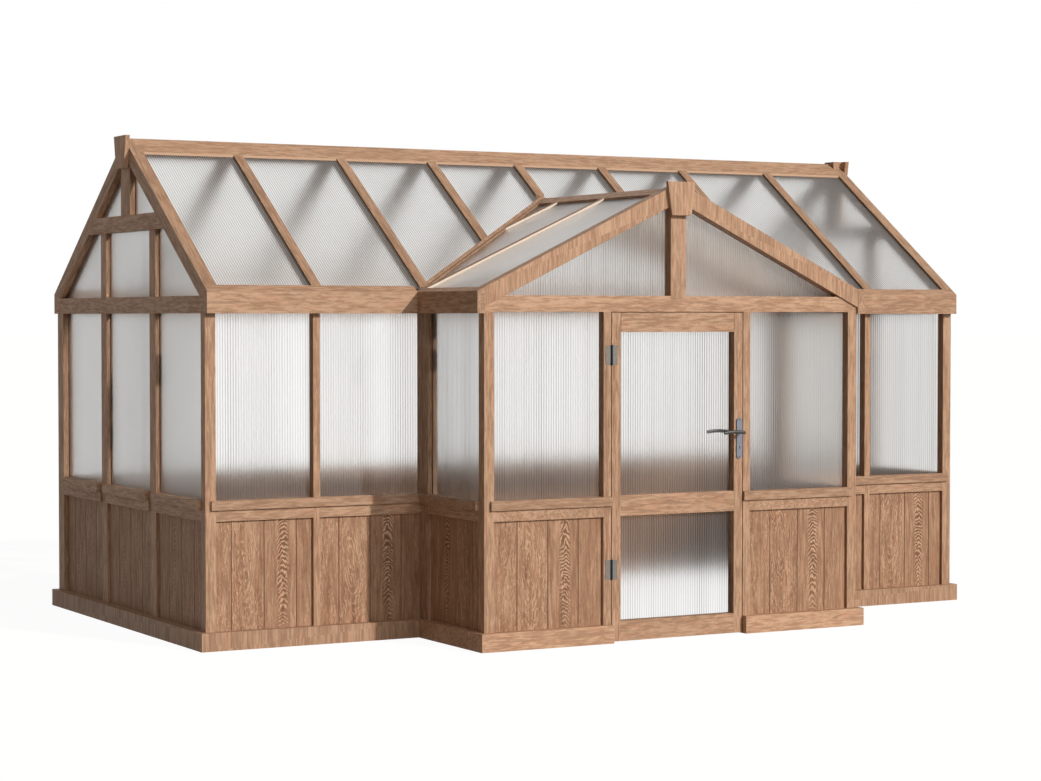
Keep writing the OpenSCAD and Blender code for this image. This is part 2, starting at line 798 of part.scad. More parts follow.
module lever_plates() color(metal) place() difference() {
    on_both_faces() translate([hx, pfy, plate_z]) rotate([90, 0, 0]) linear_extrude(plate_t)
        plate_outline();
    translate([hx, pfy - 20, lever_z]) rotate([-90, 0, 0]) cylinder(r = 9.5, h = door_t + 40);
    translate([hx, pfy - 20, key_z]) rotate([-90, 0, 0]) cylinder(r = 4, h = door_t + 40);
    bar(hx - 1.6, hx + 1.6, pfy - 20, door_y + 20, key_z - 13, key_z);
    plate_screw_shapes();
}

module plate_screw_shapes() on_both_faces() for (s = [-1, 1])
    translate([hx, pfy - plate_t, plate_z + s * 99]) rotate([-90, 0, 0]) {
        translate([0, 0, -1]) cylinder(r1 = 3, r2 = 3.8, h = 1.2);
        translate([0, 0, 0.2]) cylinder(r = screw_r, h = plate_t + 14);
    }

module plate_screws() color(metal * 0.6) place() plate_screw_shapes();

// The two levers and the square spindle that joins them
module lever_shape() {
    r = 420;
    a = 2 * asin(grip_len / 2 / r);
    translate([hx, pfy - plate_t - neck_out, lever_z]) {
        rotate([-90, 0, 0]) cylinder(r = 8, h = neck_out + plate_t - 0.5);
        translate([-grip_len / 2, 0, -r * cos(a / 2)]) rotate([90, 0, 0]) rotate([0, 0, 90 - a / 2])
            rotate_extrude(angle = a, $fn = 96) translate([r, 0]) scale([1, lever_r / 9.5]) circle(r = 9.5);
    }
}

module spindle_shape() translate([hx, (pfy + door_y) / 2, lever_z])
    cube([spindle, door_t + 2 * plate_t + 2 * neck_out - 20, spindle], center = true);

module lever_handles() color(metal) place() difference() {
    on_both_faces() lever_shape();
    spindle_shape();
}

module spindle_bar() color(metal) place() spindle_shape();

// Mortice lock, its latch bolt and the keep in the right door post
module lock_shape(hollow) difference() {
    union() {
        bar(dx - 48, dx - 2, pfy + 22.5, pfy + 22.5 + case_t, case_z0, case_z1);
        bar(dx - 2, dx, pfy + 20, pfy + 41, case_z0 - 15, case_z1 + 15);
    }
    if (hollow > 0) {
        latch_shape(0.4, 16);
        translate([hx, pfy, lever_z]) rotate([-90, 0, 0]) cylinder(r = spindle_hole, h = door_t);
        translate([hx, pfy, key_z]) rotate([-90, 0, 0]) cylinder(r = 4.2, h = door_t);
    }
}

module lock_case() color(metal) place() lock_shape(1);

module latch_shape(g, back)
    bar(dx - latch_in + 13 - back, dx + latch_out + (g > 0 ? 5 : 0), pfy + 30.5 - latch_t / 2 - g,
        pfy + 30.5 + latch_t / 2 + g, lever_z - 34 - g, lever_z - 34 + latch_h + g);

module latch_bolt() color(metal) place() latch_shape(0, 0);

module keep_shape(hollow) difference() {
    bar(dpx, dpx + 1.5, pfy + 19, pfy + 42, lever_z - 70, lever_z + 30);
    if (hollow > 0) bar(dpx - 1, dpx + 3, pfy + 23, pfy + 38, lever_z - 38, lever_z - 14);
}

module keep_plate() color(metal) place() keep_shape(1);

base_beams();
porch_base_beams();
corner_posts();
junction_posts();
porch_posts();
door_posts();
wall_studs();
gable_studs();
main_sills();
gable_sills();
porch_sills();
main_rails();
gable_rails();
porch_rails();
front_planks();
rear_planks();
gable_planks();
porch_planks();
front_panes();
rear_panes();
gable_panes();
porch_panes();
eave_boards();
porch_eave_boards();
wall_plates();
porch_plates();
gable_ties();
gable_barges();
king_posts();
keystones();
porch_tie();
porch_barges();
ridge_board();
ridge_caps();
front_rafters();
rear_rafters();
valley_rafters();
porch_ridge_board();
porch_ridge_caps();
porch_rafters();
front_roof_sheets();
rear_roof_sheets();
porch_roof_sheets();
door_stops();
door_stiles();
door_rails();
door_panes();
frame_hinge_leaves();
door_hinge_leaves();
hinge_pins();
frame_hinge_screws();
door_hinge_screws();
lever_plates();
plate_screws();
lever_handles();
spindle_bar();  // spindle
lock_case();
latch_bolt();
keep_plate();
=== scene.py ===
import math
import bmesh
import bpy
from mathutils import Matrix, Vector


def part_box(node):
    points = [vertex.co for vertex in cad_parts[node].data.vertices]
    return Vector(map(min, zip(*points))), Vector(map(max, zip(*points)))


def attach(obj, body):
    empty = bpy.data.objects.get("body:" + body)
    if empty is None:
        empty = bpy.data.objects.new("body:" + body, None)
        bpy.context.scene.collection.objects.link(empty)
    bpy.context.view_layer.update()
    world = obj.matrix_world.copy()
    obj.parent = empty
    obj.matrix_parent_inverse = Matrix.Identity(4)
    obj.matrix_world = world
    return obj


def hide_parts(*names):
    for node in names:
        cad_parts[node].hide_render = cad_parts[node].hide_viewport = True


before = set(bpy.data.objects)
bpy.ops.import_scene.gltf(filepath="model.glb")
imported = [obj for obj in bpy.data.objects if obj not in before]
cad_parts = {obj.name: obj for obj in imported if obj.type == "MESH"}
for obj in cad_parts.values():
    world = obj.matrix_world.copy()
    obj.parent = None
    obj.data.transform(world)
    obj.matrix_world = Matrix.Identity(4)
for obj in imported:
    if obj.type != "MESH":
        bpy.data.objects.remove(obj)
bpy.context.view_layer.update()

# Sizes in metres and angles
ROOF_PITCH = math.radians(35)
PORCH_PITCH = math.radians(24.59)
RIDGE_Y = sum(v[1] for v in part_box("ridge_board")) / 2
PORCH_TOP = 1.80
WALL_RIB = 0.0146
ROOF_RIB = 0.0140
WALL_FLUTE = 0.0019
MAIN_ROOF_FLUTE = 0.0004
PORCH_ROOF_FLUTE = 0.0005
STEPS_PER_RIB = 6
PIN_X = sum(v[0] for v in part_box("hinge_pins")) / 2
# Half widths of the painted knuckle shade round the hinge pin: full inside KNUCKLE, fading out by
# KNUCKLE_EDGE
KNUCKLE = 0.0076
KNUCKLE_EDGE = 0.0088
WOOD_RELIEF = 0.0012
DUST_RELIEF = 0.0002
BRUSH_RELIEF = 0.0001

# Planks, with the distance of the arches and the knot from the middle of a bay
PLANK_W = 0.183
ARCHES_RIGHT = 0.57 * PLANK_W
KNOT_LEFT = 0.62 * PLANK_W
KNOT_Z = 0.45

# Wood colours as they render in full light
DARK = (0.300, 0.150, 0.080)
MID = (0.470, 0.262, 0.151)
PALE = (0.660, 0.405, 0.254)
PLANK_DARK = (0.215, 0.105, 0.055)
PLANK_MID = (0.395, 0.213, 0.121)
PLANK_PALE = (0.650, 0.405, 0.250)
PLANK_GAIN = 0.885
PINK = (0.560, 0.255, 0.170)
PINK_SHARE = 0.55
JOINT = (0.220, 0.100, 0.062)
# Joint colour darkened further for the gable planks, which are seen in shade: painted shade
SHADED_JOINT = (0.11, 0.05, 0.03)
WOOD_IOR = 1.45
WOOD_SPECULAR = 0.30

# Sheets
WEB = (0.20, 0.185, 0.175)
DUSTY_FLUTE = (0.80, 0.79, 0.77)
SLANT_START = 0.14
SLANT_FULL = 0.52

# Metals
# Colour of the painted shade on the hinge knuckles and the shadow in their gaps
KNUCKLE_SHADE_COLOUR = (0.018, 0.017, 0.017)

# Light and camera
FLOOR_SIZE = 400
FLOOR_COLOUR = (0.48, 0.455, 0.425)
FLOOR_GLOW = 1.19
FLOOR_GLOW_SHARE = 0.80
SKY_LIGHT = 0.12
SKY_COLOUR = (1.0, 0.92, 0.83)
WHITE = (1.0, 1.0, 1.0)
CAMERA_AT = (-7.1276, -12.64755, 1.7152)
CAMERA_DOWN = 0.0295
CAMERA_TURN = -0.5059
CAMERA_LENS = 85.37
CAMERA_SENSOR = 36
CAMERA_REACH = 500


def solids_of(obj):
    """The corner points of each separate solid in a CAD node."""
    bm = bmesh.new()
    bm.from_mesh(obj.data)
    bmesh.ops.remove_doubles(bm, verts=bm.verts, dist=1e-6)
    left = set(bm.verts)
    found = []
    while left:
        todo = [left.pop()]
        group = []
        while todo:
            vert = todo.pop()
            group.append(vert.co.copy())
            for edge in vert.link_edges:
                other = edge.other_vert(vert)
                if other in left:
                    left.remove(other)
                    todo.append(other)
        found.append(group)
    bm.free()
    return sorted(found, key=lambda g: tuple(round(c, 5) for c in min(g, key=tuple)))


def bay_middles(node, along, other):
    """Middles of the planked bays of a node whose planks stand side by side along one axis."""
    same_bay = 0.005
    runs = []
    for corners in solids_of(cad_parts[node]):
        spans = [(min(c[k] for c in corners), max(c[k] for c in corners)) for k in (along, other)]
        if spans[0][1] - spans[0][0] > spans[1][1] - spans[1][0]:
            runs.append((round(spans[1][0], 3), *spans[0]))
    middles = []
    runs.sort()
    while runs:
        wall, low, high = runs.pop(0)
        while runs and runs[0][0] == wall and runs[0][1] - high < same_bay:
            high = runs.pop(0)[2]
        middles.append((low + high) / 2)
    return sorted(set(round(m, 4) for m in middles))


class Net:
    """The nodes of a material or of the world, and short ways to add to them."""

    def __init__(self, owner, output):
        owner.use_nodes = True
        self.tree = owner.node_tree
        self.tree.nodes.clear()
        self.out = self.add(output)

    def add(self, kind, **props):
        node = self.tree.nodes.new(kind)
        for key, value in props.items():
            setattr(node, key, value)
        return node

    def put(self, socket, value):
        if isinstance(value, bpy.types.NodeSocket):
            self.tree.links.new(value, socket)
        elif value is not None:
            if socket.type == "RGBA" and len(value) == 3:
                value = (*value, 1)
            socket.default_value = value

    def math(self, op, a, b=None):
        node = self.add("ShaderNodeMath", operation=op)
        for socket, value in zip(node.inputs, (a, b)):
            self.put(socket, value)
        return node.outputs[0]

    def plus(self, a, b):
        return self.math("ADD", a, b)

    def minus(self, a, b):
        return self.math("SUBTRACT", a, b)

    def times(self, a, b):
        return self.math("MULTIPLY", a, b)

    def size(self, a):
        return self.math("ABSOLUTE", a)

    def xyz(self, vector):
        node = self.add("ShaderNodeSeparateXYZ")
        self.put(node.inputs[0], vector)
        return list(node.outputs)

    def vec(self, x, y, z):
        node = self.add("ShaderNodeCombineXYZ")
        for socket, value in zip(node.inputs, (x, y, z)):
            self.put(socket, value)
        return node.outputs[0]

    def scaled(self, values, factors):
        return self.vec(*(self.times(value, factor) for value, factor in zip(values, factors)))

    def noise(self, vector, detail=2.0, rough=0.5, distortion=0.0):
        node = self.add("ShaderNodeTexNoise", noise_dimensions="3D")
        self.put(node.inputs["Vector"], vector)
        node.inputs["Scale"].default_value = 1.0
        node.inputs["Detail"].default_value = detail
        node.inputs["Roughness"].default_value = rough
        node.inputs["Distortion"].default_value = distortion
        return node.outputs["Fac"]

    def ramp(self, value, stops):
        node = self.add("ShaderNodeValToRGB")
        while len(node.color_ramp.elements) < len(stops):
            node.color_ramp.elements.new(0.5)
        for element, (at, colour) in zip(node.color_ramp.elements, stops):
            element.position = at
            element.color = (*colour, 1)
        self.put(node.inputs[0], value)
        return node.outputs[0]

    def spread(self, value, from_low, from_high, to_low, to_high):
        """A value moved from one range to another and kept inside it."""
        node = self.add("ShaderNodeMapRange", clamp=True)
        for socket, item in zip(node.inputs, (value, from_low, from_high, to_low, to_high)):
            self.put(socket, item)
        return node.outputs[0]

    def mix(self, factor, a, b, kind="MIX"):
        node = self.add("ShaderNodeMix", data_type="RGBA", blend_type=kind)
        self.put(node.inputs[0], factor)
        self.put(node.inputs[6], a)
        self.put(node.inputs[7], b)
        return node.outputs[2]

    def shaded(self, colour, value):
        """A colour times a grey value."""
        return self.mix(1.0, colour, self.vec(value, value, value), "MULTIPLY")

    def bump(self, height, distance, strength):
        node = self.add("ShaderNodeBump")
        node.inputs["Strength"].default_value = strength
        node.inputs["Distance"].default_value = distance
        self.put(node.inputs["Height"], height)
        return node.outputs[0]

    def blend(self, factor, first, second):
        """One shader where the factor is 0 and the other where it is 1, as the surface."""
        node = self.add("ShaderNodeMixShader")
        for socket, value in zip(node.inputs, (factor, first, second)):
            self.put(socket, value)
        self.put(self.out.inputs["Surface"], node.outputs[0])

    def first_sight(self):
        """1 where the camera sees the place, also in a reflection or through a sheet, and 0 where it
        only lights other surfaces."""
        path = self.add("ShaderNodeLightPath").outputs
        seen = self.math("MAXIMUM", path["Is Glossy Ray"], path["Is Transmission Ray"])
        seen = self.math("MAXIMUM", path["Is Camera Ray"], seen)
        return self.times(seen, self.math("LESS_THAN", path["Diffuse Depth"], 0.5))


class Surface(Net):
    """A material."""

    def __init__(self, name):
        self.mat = bpy.data.materials.new(name)
        super().__init__(self.mat, "ShaderNodeOutputMaterial")
        self.coord = self.add("ShaderNodeTexCoord").outputs
        self.geo = self.add("ShaderNodeNewGeometry").outputs

    def principled(self, **inputs):
        node = self.add("ShaderNodeBsdfPrincipled")
        for key, value in inputs.items():
            self.put(node.inputs[key.replace("_", " ")], value)
        self.put(self.out.inputs["Surface"], node.outputs[0])
        return node.outputs[0]


def grain_axes(net, way):
    """Distances along the grain and the two ways across it."""
    x, y, z = net.xyz(net.coord["Object"])
    if way == "z":
        return z, x, y
    if way == "x":
        return x, y, z
    if way == "y":
        return y, x, z
    if way == "roof":
        run = net.size(net.minus(y, RIDGE_Y))
        c, s = math.cos(ROOF_PITCH), math.sin(ROOF_PITCH)
        across = x
    else:
        run = net.size(x)
        c, s = math.cos(PORCH_PITCH), math.sin(PORCH_PITCH)
        across = y
    along = net.minus(net.times(z, s), net.times(run, c))
    depth = net.plus(net.times(run, s), net.times(z, c))
    return along, across, depth


def wood(name, way, gain, length=9.0, painted_front_highlight=None):
    """Oiled softwood. Streaks and fibres run along the grain, and faces that look straight to the front
    can be painted lighter: a painted highlight for the sun on them."""
    dark, mid, pale = (tuple(c * gain for c in tone) for tone in (DARK, MID, PALE))
    net = Surface(name)
    along, across, depth = grain_axes(net, way)
    piece = net.geo["Random Per Island"]
    along = net.plus(along, net.times(piece, 61.0))
    across = net.plus(across, net.times(piece, 17.0))

    def grain(lengthways, crossways, **kind):
        return net.noise(net.scaled((along, across, depth), (lengthways, crossways, crossways)), **kind)

    streak = grain(length, 75.0, detail=3.0, rough=0.6, distortion=0.35)
    broad = grain(length * 0.22, 16.0, detail=2.0)
    dash = grain(length * 1.5, 120.0, detail=2.0, distortion=0.6)
    hue = grain(length * 0.6, 34.0, detail=1.0)
    fibre = grain(26.0, 520.0, detail=2.0, rough=0.7)
    pore = grain(60.0, 900.0, detail=1.0)

    tone = net.plus(net.times(streak, 0.72), net.times(broad, 0.28))
    tone = net.plus(tone, net.times(net.minus(piece, 0.5), 0.05))
    tone = net.plus(tone, net.spread(dash, 0.55, 0.66, 0.0, 0.07))
    tone = net.minus(tone, net.spread(dash, 0.44, 0.34, 0.0, 0.06))
    colour = net.ramp(tone, ((0.415, dark), (0.50, mid), (0.595, pale)))
    pink = net.mix(PINK_SHARE, colour, PINK, "OVERLAY")
    colour = net.mix(net.spread(hue, 0.52, 0.75, 0.0, 0.5), colour, pink)
    colour = net.shaded(colour, net.spread(pore, 0.30, 0.44, 0.72, 1.0))
    colour = net.shaded(colour, net.spread(fibre, 0.30, 0.72, 0.90, 1.10))
    # Faces turned straight to the front get a lighter colour: painted highlight where the sun falls on
    # them
    if painted_front_highlight:
        facing = net.xyz(net.coord["Normal"])[1]
        colour = net.mix(net.spread(facing, -0.95, -0.85, 1.0, 0.0), colour, painted_front_highlight)
    worn = net.spread(net.geo["Pointiness"], 0.52, 0.60, 0.0, 0.35)
    colour = net.mix(worn, colour, pale)
    height = net.plus(net.times(streak, 0.5), net.times(fibre, 0.5))
    net.principled(Base_Color=colour, Roughness=net.spread(streak, 0.3, 0.7, 0.66, 0.50),
                   Normal=net.bump(height, WOOD_RELIEF, 0.55), IOR=WOOD_IOR,
                   Specular_IOR_Level=WOOD_SPECULAR)
    return net.mat


def run_of(net, way, x, y):
    """The coordinate that runs along a wall. Where a node has walls both ways, each face picks its own."""
    if way != "both":
        return {"x": x, "y": y}[way]
    turn = net.math("GREATER_THAN", net.size(net.xyz(net.coord["Normal"])[0]), 0.75)
    return net.plus(net.times(y, turn), net.times(x, net.minus(1.0, turn)))


def from_middle(net, value, middles):
    """Signed distance from the middle of the bay that a value lies in."""
    place = net.minus(value, middles[0])
    for last, this in zip(middles, middles[1:]):
        past = net.math("GREATER_THAN", value, (last + this) / 2)
        place = net.minus(place, net.times(past, this - last))
    return place


def lines(net, phase, power, level, weight):
    """Growth lines, one for each whole step of the phase."""
    wave = net.times(net.plus(net.math("SINE", net.times(phase, 2 * math.pi)), 1.0), 0.5)
    return net.times(net.minus(net.math("POWER", wave, power), level), weight)


def arches_at(net, place, z, ragged, slow):
    """A stack of arches up the plank right of the middle of a bay."""
    off = net.size(net.minus(place, ARCHES_RIGHT))
    bow = net.math("SQRT", net.plus(net.math("POWER", off, 2.0), 0.00020))
    phase = net.plus(net.times(z, 41.0), net.times(bow, 50.0))
    phase = net.plus(phase, net.plus(net.times(ragged, 2.2), net.times(slow, 5.0)))
    near = net.spread(net.plus(off, net.times(ragged, 0.04)), 0.014, 0.036, 1.0, 0.0)
    near = net.times(near, net.spread(z, 0.10, 0.40, 0.40, 1.0))
    return lines(net, phase, 1.5, 0.52, net.times(near, 0.42))


def knot_at(net, place, z, ragged, patchy, on_plank):
    """Grain that swings round a knot on the plank left of the middle of a bay."""
    aside = net.plus(place, KNOT_LEFT)
    above = net.plus(net.minus(z, KNOT_Z), net.times(aside, 0.9))
    above = net.times(above, 0.26)
    ring = net.math("SQRT", net.plus(net.math("POWER", aside, 2.0), net.math("POWER", above, 2.0)))
    phase = net.plus(net.times(ring, 84.0), net.times(ragged, 2.2))
    near = net.times(on_plank, net.spread(ring, 0.050, 0.120, 1.0, 0.35))
    near = net.times(near, net.spread(patchy, 0.42, 0.56, 0.0, 1.0))
    return lines(net, phase, 3.0, 0.25, net.times(near, 0.15))


def planked(node, way, marks=1.0, joint=JOINT):
    """Flat sawn planks with dark joints. marks is how strong their figure is."""
    dark, mid, pale = (tuple(c * PLANK_GAIN for c in tone) for tone in (PLANK_DARK, PLANK_MID, PLANK_PALE))
    net = Surface("wood_" + node)
    x, y, z = net.xyz(net.coord["Object"])
    across = run_of(net, way, x, y)
    up = net.plus(z, net.times(net.geo["Random Per Island"], 37.0))
    bays = (bay_middles(node, 0, 1), bay_middles(node, 1, 0))
    places = [from_middle(net, value, middles) for value, middles in zip((x, y), bays) if middles]
    place = run_of(net, way, places[0], places[-1])

    def grain(lengthways, crossways, **kind):
        return net.noise(net.vec(net.times(up, lengthways), net.times(across, crossways), 0.0), **kind)

    def within(low, high):
        return net.times(net.math("GREATER_THAN", place, low), net.math("LESS_THAN", place, high))

    streak = grain(6.0, 62.0, detail=3.0, rough=0.6, distortion=0.4)
    broad = grain(1.6, 17.0, detail=1.0)
    fleck = grain(34.0, 190.0, detail=2.0, rough=0.65, distortion=0.8)
    fibre = grain(40.0, 620.0, detail=1.0)
    patch = grain(3.0, 14.0, detail=0.0)
    ragged = net.minus(grain(24.0, 45.0, detail=2.0), 0.5)

    tone = net.plus(net.times(streak, 0.40), net.times(broad, 0.20))
    tone = net.plus(tone, 0.20)
    left = net.plus(0.45, net.times(within(-2 * PLANK_W, 0.0), 0.55))
    much = net.times(net.spread(patch, 0.38, 0.58, 0.45, 1.0), left)
    tone = net.plus(tone, net.times(net.spread(fleck, 0.54, 0.63, 0.0, 0.13), much))
    tone = net.minus(tone, net.times(net.spread(fleck, 0.45, 0.36, 0.0, 0.08), much))
    arches = arches_at(net, place, z, ragged, grain(5.0, 6.0, detail=0.0))
    rings = knot_at(net, place, z, ragged, grain(6.0, 26.0, detail=1.0), within(-PLANK_W, 0.0))
    figure = net.times(net.plus(arches, rings), marks)

    colour = net.ramp(net.plus(tone, figure), ((0.36, dark), (0.50, mid), (0.66, pale)))
    pink = net.mix(PINK_SHARE, colour, PINK, "OVERLAY")
    colour = net.mix(net.spread(grain(4.0, 30.0, detail=1.0), 0.52, 0.75, 0.0, 0.3), colour, pink)
    colour = net.shaded(colour, net.spread(fibre, 0.30, 0.72, 0.92, 1.08))
    nx, ny, nz = net.xyz(net.coord["Normal"])
    groove = net.math("MINIMUM", net.size(nx), net.size(ny))
    colour = net.mix(net.spread(groove, 0.3, 0.6, 0.0, 1.0), colour, joint)
    height = net.plus(net.times(streak, 0.6), net.times(figure, 1.5))
    net.principled(Base_Color=colour, Roughness=net.spread(streak, 0.3, 0.7, 0.70, 0.54),
                   Normal=net.bump(height, WOOD_RELIEF, 0.5), IOR=WOOD_IOR,
                   Specular_IOR_Level=WOOD_SPECULAR)
    return net.mat


def twin_wall(name, way, pitch, tint=(1.0, 1.0, 0.995), web=WEB, strength=0.72, passes=0.86,
              side_passes=0.40, grazing=0.64, uneven=True, bend=1.10, clear=0.925, frosted_from=None,
              clear_right=False):
    """Clear twin wall sheet. Its webs and the tone of each flute run along the sheet, and part of the
    light that falls on it goes through: passes is that part at each of its two faces. Seen at a slant
    it is darker, down to grazing, because the view crosses more webs. With clear_right the sheets right
    of the door have thinner webs, and those above frosted_from have a duller skin."""
    rough = 0.30
    rougher_right = 0.20
    frost = 0.50
    net = Surface(name)
    x, y, z = net.xyz(net.coord["Object"])
    across = run_of(net, way, x, y)
    ribs = net.math("DIVIDE", across, pitch)
    wave = net.math("COSINE", net.times(ribs, 2 * math.pi))
    webs = net.spread(wave, -1.0, -0.05, 1.0, 0.0)
    flute = net.noise(net.vec(net.times(net.math("FLOOR", ribs), 7.31), 0.0, 0.0), detail=0.0)
    if uneven:
        band = net.noise(net.vec(net.times(across, 9.0), 0.0, 0.0), detail=1.0)
        much = net.times(net.spread(flute, 0.35, 0.65, 0.70, 1.0), net.spread(band, 0.38, 0.62, 0.45, 1.0))
        webs = net.times(webs, much)
    if clear_right:
        right = net.math("GREATER_THAN", x, 0.0)
        webs = net.times(webs, net.minus(1.0, net.times(right, 0.7)))
    colour = net.mix(net.times(webs, strength), tint, web)
    if uneven:
        colour = net.mix(net.spread(flute, 0.52, 0.70, 0.0, 0.08), colour, DUSTY_FLUTE)
    slant = net.add("ShaderNodeLayerWeight").outputs["Facing"]
    loss = net.spread(slant, SLANT_START, SLANT_FULL, 1.0, grazing)
    if clear_right:
        loss = net.math("MAXIMUM", loss, right)
    colour = net.shaded(colour, loss)
    dust = net.noise(net.scaled((x, y, z), (11.0, 11.0, 5.0)), detail=4.0, rough=0.6)
    rough_map = net.plus(net.spread(dust, 0.35, 0.70, -0.015, 0.04), rough)
    if clear_right:
        rough_map = net.plus(rough_map, net.times(right, rougher_right))
    if frosted_from:
        rough_map = net.plus(rough_map, net.spread(z, frosted_from - 0.01, frosted_from, 0.0, frost))
    body = net.principled(Base_Color=colour, Roughness=rough_map, IOR=bend, Transmission_Weight=clear,
                          Normal=net.bump(dust, DUST_RELIEF, 0.2))
    direct = net.add("ShaderNodeBsdfTransparent")
    shade = (passes, passes, passes)
    if way == "both":
        side = net.size(net.xyz(net.coord["Normal"])[0])
        part = net.spread(side, 0.70, 0.75, passes, side_passes)
        shade = net.vec(part, part, part)
    net.put(direct.inputs["Color"], shade)
    path = net.add("ShaderNodeLightPath").outputs
    lighting = net.math("MAXIMUM", path["Is Shadow Ray"], path["Is Diffuse Ray"])
    net.blend(lighting, body, direct.outputs[0])
    return net.mat


def metal(name, colour, rough, metallic=0.85, knuckle_shade=False):
    """Plated or satin metal with fine brushing, finger marks and dull spots."""
    net = Surface(name)
    place = net.xyz(net.coord["Object"])
    brush = net.noise(net.scaled(place, (900.0, 900.0, 60.0)), detail=2.0)
    dull = net.noise(net.scaled(place, (70.0, 70.0, 70.0)), detail=3.0)
    shade = net.plus(net.spread(brush, 0.3, 0.7, 0.90, 1.06), net.spread(dull, 0.3, 0.7, -0.06, 0.06))
    tone = net.shaded(colour, shade)
    if knuckle_shade:
        # A dark band along the hinge pin: painted shade of the rolled knuckle and painted shadow in its
        # gaps
        off = net.size(net.minus(place[0], PIN_X))
        tone = net.mix(net.spread(off, KNUCKLE, KNUCKLE_EDGE, 1.0, 0.0), tone, KNUCKLE_SHADE_COLOUR)
    net.principled(Base_Color=tone, Roughness=net.plus(net.spread(dull, 0.3, 0.7, -0.07, 0.09), rough),
                   Metallic=metallic, Normal=net.bump(brush, BRUSH_RELIEF, 0.4))
    return net.mat


# Materials
mats = {
    "post": wood("wood_upright", "z", 0.815),
    "rail": wood("wood_along_x", "x", 0.82, length=11.0),
    # The front faces of the ridge board and caps carry a painted highlight
    "ridge": wood("wood_ridge", "x", 0.84, length=11.0, painted_front_highlight=(0.60, 0.375, 0.240)),
    "sill": wood("wood_sill", "x", 0.74, length=11.0),
    "tie": wood("wood_porch_tie", "x", 0.895, length=11.0),
    "door": wood("wood_door_rail", "x", 0.83, length=11.0),
    "side": wood("wood_along_y", "y", 0.82, length=11.0),
    "roof": wood("wood_down_roof", "roof", 0.74),
    # The front sides of the porch rafters carry a painted highlight, almost white
    "porch": wood("wood_down_porch", "porch", 0.86, painted_front_highlight=(1.0, 0.90, 0.78)),
    "barge": wood("wood_porch_barge", "z", 0.88, length=5.0),
    "base": wood("wood_base", "z", 0.755, length=5.0),
    "foot": wood("wood_porch_base", "x", 0.94, length=11.0),
    "front_planks": planked("front_planks", "x"),
    "rear_planks": planked("rear_planks", "x"),
    # The gable planks take the darker joint colour: painted shade
    "gable_planks": planked("gable_planks", "y", marks=0.35, joint=SHADED_JOINT),
    "porch_planks": planked("porch_planks", "both"),
    "wall_x": twin_wall("sheet_ribs_along_x", "x", WALL_RIB, strength=0.64),
    "wall_y": twin_wall("sheet_ribs_along_y", "y", WALL_RIB, tint=(1.0, 0.985, 0.965), grazing=0.68),
    "wall_both": twin_wall("sheet_ribs_by_side", "both", WALL_RIB, strength=0.86, grazing=0.67,
                           frosted_from=PORCH_TOP, clear_right=True),
    "wall_rear": twin_wall("sheet_ribs_rear", "x", WALL_RIB, strength=0.12, clear=1.0),
    "wall_door": twin_wall("sheet_ribs_door", "x", WALL_RIB, strength=0.88),
    "roof_x": twin_wall("roof_sheet_ribs", "x", ROOF_RIB, tint=(1.0, 0.985, 0.970),
                        web=(0.13, 0.12, 0.11), passes=0.92, grazing=0.90, uneven=False, bend=1.20,
                        clear=0.88),
    "roof_rear": twin_wall("roof_sheet_ribs_rear", "x", ROOF_RIB, tint=(1.0, 0.995, 0.985),
                           web=(0.16, 0.15, 0.14), strength=0.5, passes=0.92, grazing=1.0,
                           uneven=False, bend=1.18, clear=1.0),
    "roof_y": twin_wall("porch_sheet_ribs", "y", ROOF_RIB, tint=(1.0, 0.985, 0.96),
                        web=(0.30, 0.28, 0.26), strength=0.45, passes=0.92, grazing=0.96,
                        uneven=False, bend=1.20, clear=0.94),
    "zinc": metal("zinc_plate", (0.168, 0.152, 0.134), 0.52, 0.5, knuckle_shade=True),
    "steel": metal("dull_steel", (0.30, 0.30, 0.29), 0.42),
    "black": metal("blackened_steel", (0.020, 0.020, 0.020), 0.40, 0.5),
    "plate": metal("satin_plate", (0.175, 0.185, 0.215), 0.42, 0.6),
    "lever": metal("dark_lever", (0.060, 0.056, 0.052), 0.36, 0.7),
}


def plain_face(key, way, **look):
    """The inner face and the rims of a sheet, which show no webs of their own."""
    return twin_wall("plain_face_" + key, way, ROOF_RIB, strength=0.0, uneven=False, clear=1.0, **look)


WALL_INSIDE = {"grazing": 0.62}
ROOF_INSIDE = {"passes": 0.92, "grazing": 1.0, "bend": 1.18}
plain_faces = {
    "wall_x": plain_face("wall_x", "x", **WALL_INSIDE),
    "wall_door": plain_face("wall_door", "x", **WALL_INSIDE),
    "wall_y": plain_face("wall_y", "y", **WALL_INSIDE),
    "wall_both": plain_face("wall_both", "both", clear_right=True, **WALL_INSIDE),
    "wall_rear": plain_face("wall_rear", "x", **WALL_INSIDE),
    "roof_x": plain_face("roof_x", "x", **ROOF_INSIDE),
    "roof_y": plain_face("roof_y", "y", **{**ROOF_INSIDE, "grazing": 0.96}),
    "roof_rear": plain_face("roof_rear", "x", **ROOF_INSIDE),
}

